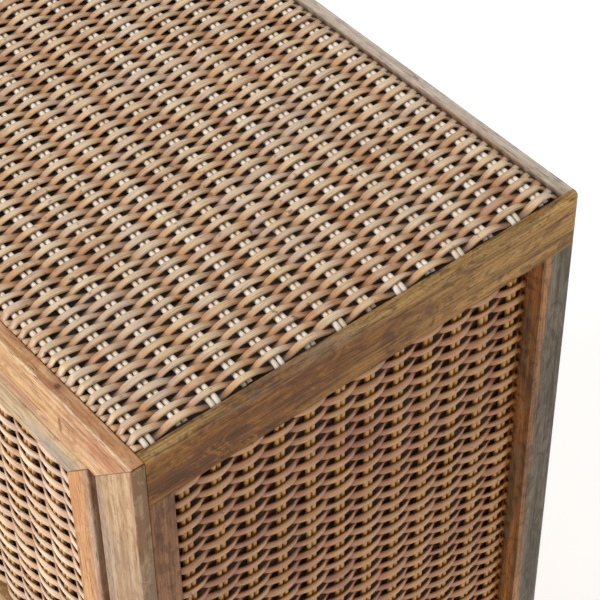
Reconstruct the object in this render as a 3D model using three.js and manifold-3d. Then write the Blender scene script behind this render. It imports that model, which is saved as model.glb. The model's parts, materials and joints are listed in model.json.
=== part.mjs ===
// Side table with one drawer above an open shelf bay. A mango wood frame holds woven rattan panels on the
// top, on both sides and on the drawer front. Millimetres, +Z up, the front of the table faces -Y.
// The origin is on the floor, under the middle of the space the table takes up.
import * as THREE from "three";
import { mergeVertices } from "three/addons/utils/BufferGeometryUtils.js";
import Module from "manifold-3d";

const wasm = await Module();
wasm.setup();

// ---------------------------------------------------------------- driving sizes

// Whole table
const WIDTH = 500;
const DEPTH = 350;
const HEIGHT = 600;
const FOOT_HEIGHT = 90;

// Front face frame
const FACE_WIDTH = 40;
const FACE_THICK = 10;
const DIVIDER_WIDTH = 26;
const BAY_OPENING = 114;

// Side and back frames
const SIDE_THICK = 18;
const RAIL_WIDTH = 38;
const FRONT_STILE_WIDTH = 18;
const REAR_STILE_WIDTH = 30;
const BACK_THICK = 18;
const REAR_CORNER_RADIUS = 8.5;
const TOP_LIP = 9;

// Woven panels and the boards behind them
const WEAVE_THICK = 7;
const TOP_WEAVE_RISE = 4;
const SIDE_WEAVE_RECESS = 9.5;
const DRAWER_WEAVE_RECESS = 3.5;
const TOP_REAR_GAP = 3.5;
const TOP_BOARD_THICK = 9;
const BACKING_THICK = 5;
const BACK_PANEL_THICK = 5;

// Boards inside
const SHELF_THICK = 12;
const BATTEN_WIDTH = 18;
const CLEAT_SIZE = 12;
const CORNER_BLOCK_SIZE = 56;
const BEARER_HEIGHT = 60;

// Drawer
const DRAWER_SIDE_GAP = 8;
const DRAWER_END_GAP = 1.5;
const DRAWER_FRAME_WIDTH = 24;
const DRAWER_FRAME_THICK = 18;
const DRAWER_PANEL_THICK = 6;
const BOX_THICK = 12;
const BOX_TOP_DROP = 60;
const BOX_BOTTOM_RISE = 5;
const BOX_REAR_SPACE = 12;
const BOTTOM_THICK = 6;
const BOTTOM_RISE = 8;
const GROOVE_DEPTH = 6;

// Drawer runners: a channel on the cabinet and a smaller channel on the drawer, face to face
const RUNNER_SPACE = 12.7;
const RUNNER_STEP = 50;
const RUNNER_SHEET = 1.5;
const CHANNEL_REACH = 9.5;
const SLIDE_POST_GAP = 1;
const CHANNEL_HEIGHT = 36;
const SLIDE_HEIGHT = 26;
const RUNNER_FRONT_SETBACK = 3;
const RUNNER_RISE = 60;

// Feet, knob and fixings
const FOOT_TOP_RADIUS = 22;
const FOOT_TIP_RADIUS = 14;
const FOOT_COLLAR = 6;
const BOLT_RADIUS = 4;
const BOLT_GRIP = 24;
const KNOB_REACH = 28;
const KNOB_BASE_RADIUS = 10;
const KNOB_NECK_RADIUS = 5;
const KNOB_HEAD_RADIUS = 14;
const KNOB_SCREW = { headRadius: 4, headHeight: 2.2, shankRadius: 2, length: 42 };

// Clearances
const CUT_GAP = 0.3;
const PANEL_GAP = 0.5;

// ---------------------------------------------------------------- finishes

function finish(colour, roughness, metalness = 0) {
  return () => new THREE.MeshStandardMaterial({ color: colour, roughness, metalness });
}
const honeyWood = finish(0xc8a06f, 0.6);
const shadeWood = finish(0xa98a5e, 0.6);
const plyWood = finish(0xd6bd92, 0.7);
const blackBoard = finish(0x1c1a19, 0.8);
const rattan = finish(0xc29a6c, 0.65);
const steel = finish(0xb9bcc0, 0.35, 0.9);
const brass = finish(0xb58a45, 0.35, 0.9);

// ---------------------------------------------------------------- helpers

// Straight steps that stand for one rounded corner.
const CURVE_STEPS = 6;

const table = new THREE.Group();

function middle(range) {
  return (range[0] + range[1]) / 2;
}

function span(range) {
  return range[1] - range[0];
}

// A range mirrored to the given side of the table: -1 left, 1 right.
function sided(side, inner, outer) {
  return side > 0 ? [inner, outer] : [-outer, -inner];
}

function inset(range, gap) {
  return [range[0] + gap, range[1] - gap];
}

function blockMesh(x, y, z, material) {
  const mesh = new THREE.Mesh(new THREE.BoxGeometry(span(x), span(y), span(z)), material);
  mesh.position.set(middle(x), middle(y), middle(z));
  return mesh;
}

// A rectangular board between three ranges.
function board(name, makeFinish, x, y, z) {
  const mesh = blockMesh(x, y, z, makeFinish());
  mesh.name = name;
  table.add(mesh);
  return mesh;
}

const ALONG_Y = new THREE.Matrix4().makeBasis(
  new THREE.Vector3(1, 0, 0), new THREE.Vector3(0, 0, 1), new THREE.Vector3(0, -1, 0));
// An outline seen from the front (x, z), as thick as the y range.
function frontProfile(name, makeFinish, shape, y) {
  const geometry = new THREE.ExtrudeGeometry(shape, { depth: span(y), bevelEnabled: false, curveSegments: CURVE_STEPS });
  const mesh = new THREE.Mesh(geometry, makeFinish());
  mesh.name = name;
  mesh.setRotationFromMatrix(ALONG_Y);
  mesh.position.y = y[1];
  table.add(mesh);
  return mesh;
}

function polygon(points) {
  return new THREE.Shape(points.map(([u, v]) => new THREE.Vector2(u, v)));
}

// A round rod between two points.
function rod(radius, from, to, sides = 12) {
  const start = new THREE.Vector3(...from);
  const end = new THREE.Vector3(...to);
  const mesh = new THREE.Mesh(new THREE.CylinderGeometry(radius, radius, start.distanceTo(end), sides));
  mesh.quaternion.setFromUnitVectors(new THREE.Vector3(0, 1, 0), end.clone().sub(start).normalize());
  mesh.position.copy(start).add(end).multiplyScalar(0.5);
  return mesh;
}

// The solid of a mesh in the table's frame.
function solidOf(mesh) {
  mesh.updateMatrix();
  const geometry = mesh.geometry.clone();
  geometry.deleteAttribute("normal");
  geometry.deleteAttribute("uv");
  const merged = mergeVertices(geometry.applyMatrix4(mesh.matrix), 1e-4);
  const vertProperties = merged.getAttribute("position").array;
  return new wasm.Manifold(new wasm.Mesh({ numProp: 3, vertProperties, triVerts: merged.index.array }));
}

function geometryOf(solid) {
  const { vertProperties, triVerts } = solid.getMesh();
  const geometry = new THREE.BufferGeometry();
  geometry.setAttribute("position", new THREE.Float32BufferAttribute(vertProperties, 3));
  geometry.setIndex(Array.from(triVerts));
  const faceted = geometry.toNonIndexed();
  faceted.computeVertexNormals();
  return faceted;
}

// Cuts tools, given in the table's frame, out of a mesh, which keeps its place.
function cut(mesh, tools) {
  let solid = solidOf(mesh);
  for (const tool of tools) solid = solid.subtract(solidOf(tool));
  mesh.geometry = geometryOf(solid).applyMatrix4(mesh.matrix.clone().invert());
}

// A screw with its axis along Y: a round head that stands behind the surface at `seat`, and a shank that
// runs forward from it.
function screw(name, kind, seat) {
  const [x, y, z] = seat;
  const head = rod(kind.headRadius, [x, y + kind.headHeight, z], [x, y, z]);
  const shank = rod(kind.shankRadius, [x, y + kind.headHeight / 2, z], [x, y - kind.length, z]);
  const mesh = new THREE.Mesh(geometryOf(solidOf(head).add(solidOf(shank))), steel());
  mesh.name = name;
  table.add(mesh);
}

// Four boards mitred at 45 degrees round a rectangular opening, seen from the front.
function mitredFrame(names, makeFinish, x, z, y, width) {
  const step = CUT_GAP * Math.SQRT2;
  const [left, right] = x;
  const [bottom, top] = z;
  const rail = (outer, inner) => polygon([[left, outer], [right, outer], [right - width, inner], [left + width, inner]]);
  const stile = (outer, inner) => polygon([
    [outer, bottom + step], [inner, bottom + width + step], [inner, top - width - step], [outer, top - step]]);
  frontProfile(names.top, makeFinish, rail(top, top - width), y);
  frontProfile(names.bottom, makeFinish, rail(bottom, bottom + width), y);
  frontProfile(names.left, makeFinish, stile(left, left + width), y);
  frontProfile(names.right, makeFinish, stile(right, right - width), y);
}

const SIDES = [["left", -1], ["right", 1]];

// ---------------------------------------------------------------- levels and planes worked out from the sizes

const halfWidth = WIDTH / 2;
const bodyBottom = FOOT_HEIGHT;
const frameInner = halfWidth - SIDE_THICK;
const backingInner = frameInner - BACKING_THICK;
const openingHalf = halfWidth - FACE_WIDTH;
const openingTop = HEIGHT - FACE_WIDTH;
const bayFloor = bodyBottom + FACE_WIDTH;
const bayCeiling = bayFloor + BAY_OPENING;
const openingBottom = bayCeiling + DIVIDER_WIDTH;
const backRailFront = DEPTH - BACK_THICK;
const backPanelFront = backRailFront - BACK_PANEL_THICK;
const topWeaveTop = HEIGHT + TOP_WEAVE_RISE;
const topBoardTop = topWeaveTop - WEAVE_THICK - PANEL_GAP;
const topBoardBottom = topBoardTop - TOP_BOARD_THICK;
const insideDepth = [FACE_THICK, backPanelFront];

// ---------------------------------------------------------------- front face frame

function frontFrame() {
  const y = [0, FACE_THICK];
  const names = {
    top: "front_top_rail", bottom: "front_bottom_rail", left: "front_post_left", right: "front_post_right",
  };
  mitredFrame(names, honeyWood, [-halfWidth, halfWidth], [bodyBottom, HEIGHT], y, FACE_WIDTH);
  board("front_divider_rail", honeyWood, [-openingHalf, openingHalf], y, [bayCeiling, openingBottom]);
}

// ---------------------------------------------------------------- side frames

// An upright or rail at a side whose rear outer corner is rounded, seen from above.
function roundedPost(name, side, y, z) {
  const radius = REAR_CORNER_RADIUS;
  const shape = new THREE.Shape();
  shape.moveTo(side * frameInner, y[0]);
  shape.lineTo(side * halfWidth, y[0]);
  shape.absarc(side * (halfWidth - radius), y[1] - radius, radius, side > 0 ? 0 : Math.PI, Math.PI / 2, side < 0);
  shape.lineTo(side * frameInner, y[1]);
  const geometry = new THREE.ExtrudeGeometry(shape, { depth: span(z), bevelEnabled: false, curveSegments: CURVE_STEPS });
  const mesh = new THREE.Mesh(geometry, shadeWood());
  mesh.name = name;
  mesh.position.z = z[0];
  table.add(mesh);
  return mesh;
}

// The top rail of a side runs to the back, and its inner edge is rebated for the top board.
function sideTopRail(word, side) {
  const rail = roundedPost(`side_${word}_top_rail`, side, [FACE_THICK, DEPTH], [HEIGHT - RAIL_WIDTH, HEIGHT]);
  const rebate = blockMesh(
    sided(side, frameInner - 1, halfWidth - TOP_LIP), [FACE_THICK - 1, DEPTH + 1], [topBoardBottom, HEIGHT + 1]);
  cut(rail, [rebate]);
}

function sideFrame(word, side) {
  const x = sided(side, frameInner, halfWidth);
  const stileTop = HEIGHT - RAIL_WIDTH;
  const frontStile = [FACE_THICK, FACE_THICK + FRONT_STILE_WIDTH];
  const rearStile = [DEPTH - REAR_STILE_WIDTH, DEPTH];
  const openingDepth = [frontStile[1], rearStile[0]];
  const openingRise = [bodyBottom + RAIL_WIDTH, stileTop];
  sideTopRail(word, side);
  board(`side_${word}_front_stile`, shadeWood, x, frontStile, [bodyBottom, stileTop]);
  roundedPost(`side_${word}_rear_stile`, side, rearStile, [bodyBottom, stileTop]);
  board(`side_${word}_bottom_rail`, shadeWood, x, openingDepth, [bodyBottom, openingRise[0]]);

  const weaveFace = halfWidth - SIDE_WEAVE_RECESS;
  board(`side_${word}_weave`, rattan, sided(side, weaveFace - WEAVE_THICK, weaveFace),
    inset(openingDepth, PANEL_GAP), inset(openingRise, PANEL_GAP));
  board(`side_${word}_backing`, blackBoard, sided(side, backingInner, frameInner),
    insideDepth, [bodyBottom, topBoardBottom - PANEL_GAP]);
}

// ---------------------------------------------------------------- back

function backFrame() {
  const x = [-frameInner, frameInner];
  const y = [backRailFront, DEPTH];
  const lipHalf = halfWidth - TOP_LIP;
  const lipFront = DEPTH - TOP_LIP;
  const topRail = board("back_top_rail", honeyWood, [-lipHalf, lipHalf], y, [HEIGHT - RAIL_WIDTH, HEIGHT]);
  const rebate = blockMesh([-lipHalf - 1, lipHalf + 1], [backRailFront - 1, lipFront], [topBoardBottom, HEIGHT + 1]);
  const shoulders = SIDES.map(([, side]) => blockMesh(
    sided(side, frameInner - CUT_GAP, lipHalf + 1), [backRailFront - 1, DEPTH + 1],
    [HEIGHT - RAIL_WIDTH - 1, topBoardBottom + CUT_GAP]));
  cut(topRail, [rebate, ...shoulders]);
  board("back_bottom_rail", honeyWood, x, y, [bodyBottom, bodyBottom + RAIL_WIDTH]);
  board("back_panel", plyWood, x, [backPanelFront, backRailFront], [bodyBottom, topBoardBottom - PANEL_GAP]);
}

// ---------------------------------------------------------------- top

function top() {
  const lipHalf = halfWidth - TOP_LIP;
  const lipFront = DEPTH - TOP_LIP;
  board("top_front_batten", plyWood, [-backingInner, backingInner],
    [FACE_THICK, FACE_THICK + BATTEN_WIDTH], [HEIGHT - RAIL_WIDTH, topBoardBottom]);
  board("top_board", blackBoard, inset([-lipHalf, lipHalf], PANEL_GAP),
    inset([FACE_THICK, lipFront], PANEL_GAP), [topBoardBottom, topBoardTop]);
  board("top_weave", rattan, inset([-lipHalf, lipHalf], PANEL_GAP),
    [FACE_THICK + PANEL_GAP, lipFront - TOP_REAR_GAP],
    [topWeaveTop - WEAVE_THICK, topWeaveTop]);
}

// ---------------------------------------------------------------- shelf bay and base

function shelves() {
  const x = [-backingInner, backingInner];
  const y = inset(insideDepth, CUT_GAP);
  board("bottom_board", plyWood, x, y, [bayFloor - SHELF_THICK, bayFloor]);
  board("shelf_board", plyWood, x, y, [bayCeiling, bayCeiling + SHELF_THICK]);
  for (const [word, side] of SIDES) {
    board(`shelf_cleat_${word}`, shadeWood, sided(side, backingInner - CLEAT_SIZE, backingInner),
      inset(insideDepth, CLEAT_SIZE), [bayCeiling - CLEAT_SIZE, bayCeiling]);
  }
}

// A turned foot that tapers to the floor, hung on a bolt from a corner block under the bottom board.
function feet() {
  const blockRise = [bodyBottom, bayFloor - SHELF_THICK];
  const rows = [
    ["front", [FACE_THICK, FACE_THICK + CORNER_BLOCK_SIZE]],
    ["rear", [backPanelFront - CORNER_BLOCK_SIZE, backPanelFront]],
  ];
  const profile = [
    [0, 0], [FOOT_TIP_RADIUS, 0], [FOOT_TOP_RADIUS, bodyBottom - FOOT_COLLAR],
    [FOOT_TOP_RADIUS, bodyBottom], [0, bodyBottom],
  ].map(([radius, height]) => new THREE.Vector2(radius, height));
  for (const [word, side] of SIDES) {
    const blockSpan = sided(side, backingInner - CORNER_BLOCK_SIZE, backingInner);
    for (const [row, blockDepth] of rows) {
      const [x, y] = [middle(blockSpan), middle(blockDepth)];
      const foot = new THREE.Mesh(new THREE.LatheGeometry(profile, 24), shadeWood());
      foot.name = `foot_${row}_${word}`;
      foot.rotation.x = Math.PI / 2;
      foot.position.set(x, y, 0);
      table.add(foot);

      const block = board(`corner_block_${row}_${word}`, plyWood, blockSpan, blockDepth, blockRise);
      const hole = rod(BOLT_RADIUS + CUT_GAP, [x, y, bodyBottom - BOLT_GRIP - CUT_GAP],
        [x, y, bodyBottom + BOLT_GRIP + CUT_GAP]);
      for (const piece of [foot, block]) cut(piece, [hole]);
      const bolt = rod(BOLT_RADIUS, [x, y, bodyBottom - BOLT_GRIP], [x, y, bodyBottom + BOLT_GRIP]);
      bolt.material = steel();
      bolt.name = `foot_bolt_${row}_${word}`;
      table.add(bolt);
    }
  }
}

// ---------------------------------------------------------------- drawer

const frontHalf = openingHalf - DRAWER_SIDE_GAP;
const frontRise = [openingBottom + DRAWER_END_GAP, openingTop - DRAWER_END_GAP];
const boxFront = DRAWER_FRAME_THICK;
const boxBack = backPanelFront - BOX_REAR_SPACE;
const boxRise = [frontRise[0] + BOX_BOTTOM_RISE, frontRise[1] - BOX_TOP_DROP];
const sideInner = frontHalf - BOX_THICK;
const runnerLevel = boxRise[0] + RUNNER_RISE;
const runnerStart = FACE_THICK + RUNNER_FRONT_SETBACK;
const runnerLength = Math.floor((boxBack - boxFront) / RUNNER_STEP) * RUNNER_STEP;
const slideStart = boxFront + RUNNER_SHEET;

function drawerFront() {
  const x = [-frontHalf, frontHalf];
  const names = {
    top: "drawer_front_top_rail", bottom: "drawer_front_bottom_rail",
    left: "drawer_front_stile_left", right: "drawer_front_stile_right",
  };
  mitredFrame(names, honeyWood, x, frontRise, [0, DRAWER_FRAME_THICK], DRAWER_FRAME_WIDTH);
  const openSpan = inset(x, DRAWER_FRAME_WIDTH + PANEL_GAP);
  const openRise = inset(frontRise, DRAWER_FRAME_WIDTH + PANEL_GAP);
  const weaveDepth = [DRAWER_WEAVE_RECESS, DRAWER_WEAVE_RECESS + WEAVE_THICK];
  const weave = board("drawer_front_weave", rattan, openSpan, weaveDepth, openRise);
  const panelDepth = [DRAWER_FRAME_THICK - DRAWER_PANEL_THICK, DRAWER_FRAME_THICK];
  const panel = board("drawer_front_panel", blackBoard, openSpan, panelDepth, openRise);
  return [weave, panel];
}

function drawerBox() {
  const groove = blockMesh(
    inset([-sideInner, sideInner], -GROOVE_DEPTH), [boxFront + BOX_THICK - GROOVE_DEPTH, boxBack + 1],
    inset([boxRise[0] + BOTTOM_RISE, boxRise[0] + BOTTOM_RISE + BOTTOM_THICK], -CUT_GAP));
  const front = board("drawer_box_front", plyWood,
    [-sideInner, sideInner], [boxFront, boxFront + BOX_THICK], boxRise);
  cut(front, [groove]);
  for (const [word, side] of SIDES) {
    const wall = board(`drawer_side_${word}`, plyWood, sided(side, sideInner, frontHalf), [boxFront, boxBack], boxRise);
    cut(wall, [groove]);
  }
  board("drawer_box_back", plyWood, [-sideInner, sideInner], [boxBack - BOX_THICK, boxBack],
    [boxRise[0] + BOTTOM_RISE + BOTTOM_THICK + CUT_GAP, boxRise[1]]);
  board("drawer_bottom", plyWood, inset([-sideInner, sideInner], PANEL_GAP - GROOVE_DEPTH),
    [boxFront + BOX_THICK - GROOVE_DEPTH + PANEL_GAP, boxBack],
    [boxRise[0] + BOTTOM_RISE, boxRise[0] + BOTTOM_RISE + BOTTOM_THICK]);
  return front;
}

// A folded steel channel along Y, open towards the other runner.
function channel(name, side, base, reach, height, start) {
  const half = height / 2;
  const web = base + Math.sign(reach) * RUNNER_SHEET;
  const tip = base + reach;
  const points = [
    [base, -half], [tip, -half], [tip, -half + RUNNER_SHEET], [web, -half + RUNNER_SHEET],
    [web, half - RUNNER_SHEET], [tip, half - RUNNER_SHEET], [tip, half], [base, half],
  ];
  const shape = polygon(points.map(([x, z]) => [side * x, z + runnerLevel]));
  return frontProfile(name, steel, shape, [start, start + runnerLength]);
}

// The slide has to pass behind the front posts, so it stands out less than the gap beside the drawer.
function runners() {
  const slideReach = DRAWER_SIDE_GAP - SLIDE_POST_GAP;
  const cabinetPlane = frontHalf + RUNNER_SPACE;
  for (const [word, side] of SIDES) {
    board(`runner_bearer_${word}`, shadeWood, sided(side, cabinetPlane, backingInner), insideDepth,
      [runnerLevel - BEARER_HEIGHT / 2, runnerLevel + BEARER_HEIGHT / 2]);
    channel(`runner_channel_${word}`, side, cabinetPlane, -CHANNEL_REACH, CHANNEL_HEIGHT, runnerStart);
    channel(`runner_slide_${word}`, side, frontHalf, slideReach, SLIDE_HEIGHT, slideStart);
  }
}

// A turned brass knob in the middle of the drawer front, held by a screw from inside the drawer.
function knob(drilled) {
  const level = middle(frontRise);
  const reach = KNOB_REACH;
  const profile = [
    [0, 0], [KNOB_BASE_RADIUS, 0], [KNOB_BASE_RADIUS, 2], [KNOB_BASE_RADIUS - 2, 3.5],
    [KNOB_NECK_RADIUS, 6], [KNOB_NECK_RADIUS, reach - 15], [KNOB_HEAD_RADIUS - 2, reach - 11],
    [KNOB_HEAD_RADIUS, reach - 7], [KNOB_HEAD_RADIUS - 1, reach - 3.5], [KNOB_HEAD_RADIUS - 5, reach - 0.8], [0, reach],
  ].map(([radius, height]) => new THREE.Vector2(radius, height));
  const turned = new THREE.Mesh(new THREE.LatheGeometry(profile, 24), brass());
  turned.name = "knob";
  turned.rotation.x = Math.PI;
  turned.position.set(0, DRAWER_WEAVE_RECESS, level);
  table.add(turned);

  const seat = boxFront + BOX_THICK;
  const hole = rod(KNOB_SCREW.shankRadius + CUT_GAP, [0, seat + 1, level], [0, seat - KNOB_SCREW.length - 1, level]);
  for (const piece of [turned, ...drilled]) cut(piece, [hole]);
  screw("knob_screw", KNOB_SCREW, [0, seat, level]);
}

// ---------------------------------------------------------------- assembly

frontFrame();
for (const [word, side] of SIDES) sideFrame(word, side);
backFrame();
top();
shelves();
feet();
const frontPieces = drawerFront();
const boxFrontBoard = drawerBox();
runners();
knob([...frontPieces, boxFrontBoard]);

// The knob stands furthest forward, so the middle of the whole depth is a little forward of the cabinet's.
const foremost = DRAWER_WEAVE_RECESS - KNOB_REACH;
table.position.y = -(DEPTH + foremost) / 2;

const part = new THREE.Group();
part.add(table);

export default part;
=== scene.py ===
"""Dresses the side table: woven rattan panels, mango wood boards, brass and steel, and a studio."""

import json
from collections import namedtuple
from math import cos, pi, radians, sin

import bpy
import numpy as np
from bpy.props import FloatProperty, FloatVectorProperty, IntProperty, PointerProperty
from mathutils import Matrix, Vector


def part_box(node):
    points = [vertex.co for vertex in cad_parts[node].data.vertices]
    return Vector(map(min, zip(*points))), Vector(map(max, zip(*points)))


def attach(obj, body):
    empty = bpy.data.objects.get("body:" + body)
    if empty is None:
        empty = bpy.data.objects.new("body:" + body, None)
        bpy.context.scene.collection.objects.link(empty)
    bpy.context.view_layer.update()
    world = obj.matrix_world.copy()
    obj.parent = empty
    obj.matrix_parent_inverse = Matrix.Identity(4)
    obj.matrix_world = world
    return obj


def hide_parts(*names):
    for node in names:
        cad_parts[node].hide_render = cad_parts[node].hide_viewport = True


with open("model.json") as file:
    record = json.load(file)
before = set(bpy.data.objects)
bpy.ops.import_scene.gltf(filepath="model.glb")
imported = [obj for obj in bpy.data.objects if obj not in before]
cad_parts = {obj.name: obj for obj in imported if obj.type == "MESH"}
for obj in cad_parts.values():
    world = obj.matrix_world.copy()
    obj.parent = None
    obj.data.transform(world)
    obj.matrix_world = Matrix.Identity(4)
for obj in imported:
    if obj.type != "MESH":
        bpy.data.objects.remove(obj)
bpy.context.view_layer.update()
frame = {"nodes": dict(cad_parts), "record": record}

bl_info = {
    "name": "Rattan Side Table",
    "version": (1, 0, 0),
    "blender": (4, 5, 0),
    "location": "3D View > Sidebar > Rattan Table",
    "description": "Weaves, finishes and lights a side table with a drawer",
    "category": "Object",
}

MM = 0.001
AXIS = {"X": 0, "Y": 1, "Z": 2}


def tone(code):
    """The linear colour of a six-figure display colour code."""
    display = [int(code[k:k + 2], 16) / 255 for k in (0, 2, 4)]
    return tuple(c / 12.92 if c <= 0.04045 else ((c + 0.055) / 1.055) ** 2.4 for c in display)


# ---------------------------------------------------------------- settings

def length(name, description, millimetres):
    return FloatProperty(name=name, description=description, default=millimetres * MM,
                         min=0, unit="LENGTH", precision=4)


def colour(name, description, code):
    return FloatVectorProperty(name=name, description=description, default=tone(code),
                               size=3, min=0, max=1, subtype="COLOR")


class WeaveSettings(bpy.types.PropertyGroup):
    """Sizes and colours of the rattan panels"""
    top_spacing: length("Top Pair Spacing", "From one stake pair of the top to the next", 23.5)
    top_pitch: length("Top Strand Pitch", "From one strand of the top to the next", 4.87)
    top_first: length("Top First Pair", "From the front rail to the first stake pair", 9.8)
    side_spacing: length("Side Pair Spacing", "From one stake pair of a side to the next", 23.9)
    side_pitch: length("Side Strand Pitch", "From one strand of a side to the next", 6.18)
    drawer_spacing: length("Drawer Pair Spacing", "From one stake pair of the drawer to the next", 24.7)
    drawer_pitch: length("Drawer Strand Pitch", "From one strand of the drawer to the next", 6.3)
    rod_width: length("Stake Width", "Diameter of one round stake", 3.6)
    rod_step: length("Stake Step", "Between the middles of the two stakes of a pair", 4.05)
    strand_thickness: length("Strand Thickness", "Thickness of a woven strand", 1.9)
    rise: length("Rise", "How far a strand's middle stands above the stakes' middles", 2.65)
    strand_pale: colour("Strand Pale", "Palest part of a strand", "edd2a8")
    strand_tan: colour("Strand Tan", "Usual colour of a strand", "dcae78")
    strand_warm: colour("Strand Warm", "Orange strands", "bd8049")
    strand_grey: colour("Strand Grey", "Grey-pink bloom on the strands", "ccb5a6")
    # Painted shade: the colour laid on strands where they pass under the stakes and on the stakes' turned-in
    # ends.
    under_stake_shade: colour("Strand Deep", "A strand where it passes under the stakes", "4e3522")
    # Painted shade: darkens all the rattan of the sides and the stakes of the drawer.
    side_stain: colour("Side Stain", "Colour that darkens the rattan of the sides", "d6aa66")
    core_pale: colour("Stake Pale", "The stakes", "f3e8da")
    core_tan: colour("Stake Tan", "Stains on the stakes", "e2cba8")
    seed: IntProperty(name="Seed", description="Starts the strands' irregularity", default=7, min=0)


class WoodSettings(bpy.types.PropertyGroup):
    """Sizes and colours of the boards"""
    eased_edge: length("Eased Edge", "Width of the sanded edge of each board", 1.1)
    honey: colour("Honey", "Light wood between the streaks", "dcb483")
    amber: colour("Amber", "Usual colour of the wood", "c2935c")
    umber: colour("Umber", "Dark streaks", "8a6238")
    ash: colour("Ash", "Grey streaks", "a89a86")
    olive: colour("Olive", "Green-brown boards of the sides", "8f7a4c")
    ebony: colour("Black Board", "Painted boards behind the weave", "38322d")


class MetalSettings(bpy.types.PropertyGroup):
    """Colours of the metal pieces"""
    brass: colour("Brass", "Knob", "b98d46")
    steel: colour("Steel", "Runners and bolts", "b9bbbe")


class StageSettings(bpy.types.PropertyGroup):
    """Camera, lights and floor"""
    lens: FloatProperty(name="Lens", description="Focal length in millimetres", default=129.09, min=10)
    azimuth: FloatProperty(name="Azimuth", description="Camera's turn from the front towards the right",
                           default=radians(51.26), subtype="ANGLE")
    elevation: FloatProperty(name="Elevation", description="Camera's height over the horizon",
                             default=radians(45.238), subtype="ANGLE")
    roll: FloatProperty(name="Roll", description="Camera's turn about its own axis",
                        default=radians(-0.925), subtype="ANGLE")
    position: FloatVectorProperty(name="Camera Position", description="Where the camera stands",
                                  default=(0.9104, -0.5708, 1.5096), subtype="XYZ", unit="LENGTH")
    key_power: FloatProperty(name="Key Power", description="Power of the front softbox", default=70, min=0)
    top_power: FloatProperty(name="Top Power", description="Power of the overhead softbox",
                             default=15, min=0)
    sky: FloatProperty(name="Room Light", description="Strength of the white room", default=0.42, min=0)
    floor_glow: FloatProperty(name="Floor Glow", description="Light that the floor gives back",
                              default=0.5, min=0)


# ---------------------------------------------------------------- shader helpers

class Shader:
    """A new node material and short ways to add nodes to it."""

    def __init__(self, name):
        self.material = bpy.data.materials.new(name)
        self.material.use_nodes = True
        self.tree = self.material.node_tree
        self.skin = self.tree.nodes["Principled BSDF"]

    def node(self, kind, **values):
        made = self.tree.nodes.new(kind)
        for key, value in values.items():
            setattr(made, key, value)
        return made

    def put(self, source, socket):
        """Links a socket, or writes a plain value, into a socket."""
        if isinstance(source, bpy.types.NodeSocket):
            self.tree.links.new(source, socket)
        else:
            socket.default_value = source

    def math(self, operation, first, second=0.0):
        made = self.node("ShaderNodeMath", operation=operation)
        self.put(first, made.inputs[0])
        self.put(second, made.inputs[1])
        return made.outputs[0]

    def mix(self, share, first, second, blend="MIX"):
        made = self.node("ShaderNodeMix", data_type="RGBA", blend_type=blend, clamp_factor=True)
        self.put(share, made.inputs[0])
        for value, socket in ((first, made.inputs[6]), (second, made.inputs[7])):
            self.put(value if isinstance(value, bpy.types.NodeSocket) else (*value, 1), socket)
        return made.outputs[2]

    def noise(self, vector, scale, detail=3.0, distortion=0.0, roughness=0.5):
        made = self.node("ShaderNodeTexNoise")
        self.put(vector, made.inputs["Vector"])
        for key, value in (("Scale", scale), ("Detail", detail), ("Distortion", distortion),
                           ("Roughness", roughness)):
            made.inputs[key].default_value = value
        return made.outputs["Fac"]

    def window(self, value, low, high, start=0.0, end=1.0):
        """Maps low..high to start..end and holds it there."""
        made = self.node("ShaderNodeMapRange", clamp=True)
        for key, number in enumerate((value, low, high, start, end)):
            self.put(number, made.inputs[key])
        return made.outputs[0]

    def layered(self, base, layers):
        """Lays colours over a base: (value, low, high, share at low, share at high, colour) of each."""
        for value, low, high, start, end, colour_now in layers:
            base = self.mix(self.window(value, low, high, start, end), base, colour_now)
        return base

    def where(self):
        """Each point's place in the table's own frame."""
        return self.node("ShaderNodeTexCoord").outputs["Object"]

    def split(self, vector):
        """The X, Y and Z of a vector."""
        made = self.node("ShaderNodeSeparateXYZ")
        self.put(vector, made.inputs[0])
        return made.outputs

    def mapped(self, vector, scale, place=(0, 0, 0)):
        made = self.node("ShaderNodeMapping")
        self.put(vector, made.inputs["Vector"])
        made.inputs["Scale"].default_value = scale
        made.inputs["Location"].default_value = place
        return made.outputs[0]

    def bump(self, height, distance, strength):
        made = self.node("ShaderNodeBump")
        made.inputs["Distance"].default_value = distance
        made.inputs["Strength"].default_value = strength
        self.put(height, made.inputs["Height"])
        self.put(made.outputs[0], self.skin.inputs["Normal"])

    def finish(self, base, roughness, **sockets):
        self.put(base if isinstance(base, bpy.types.NodeSocket) else (*base, 1),
                 self.skin.inputs["Base Color"])
        self.put(roughness, self.skin.inputs["Roughness"])
        for key, value in sockets.items():
            self.skin.inputs[key].default_value = value
        return self.material


# ---------------------------------------------------------------- rattan

Layout = namedtuple("Layout", "spacing pitch first_pair pairs")
PanelLook = namedtuple("PanelLook", "crown under strand_stain stake_stain patchy end_tone end_dive")

# For each kind of panel: a strand's width on top of the stakes and under them, how strongly painted shade
# darkens strands and stakes, how patchy they are, how much lighter the strands' ends are than the rest (a
# painted highlight on the top; the sides' ends are darker), and how deep the ends dive.
PANEL_LOOKS = {
    "top": PanelLook(crown=5.6 * MM, under=4.6 * MM, strand_stain=0.0, stake_stain=0.0, patchy=0.4,
                     end_tone=0.6, end_dive=1.0),
    "side": PanelLook(crown=6.6 * MM, under=4.7 * MM, strand_stain=1.0, stake_stain=1.0, patchy=0.65,
                      end_tone=-0.5, end_dive=1.4),
    "drawer": PanelLook(crown=6.9 * MM, under=5.2 * MM, strand_stain=0.0, stake_stain=0.9, patchy=0.25,
                        end_tone=0.0, end_dive=1.0),
}

# Added to the seed, so that no two panels are alike.
TOP_SEED = 1
SIDE_SEED = 20
DRAWER_SEED = 40

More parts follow.
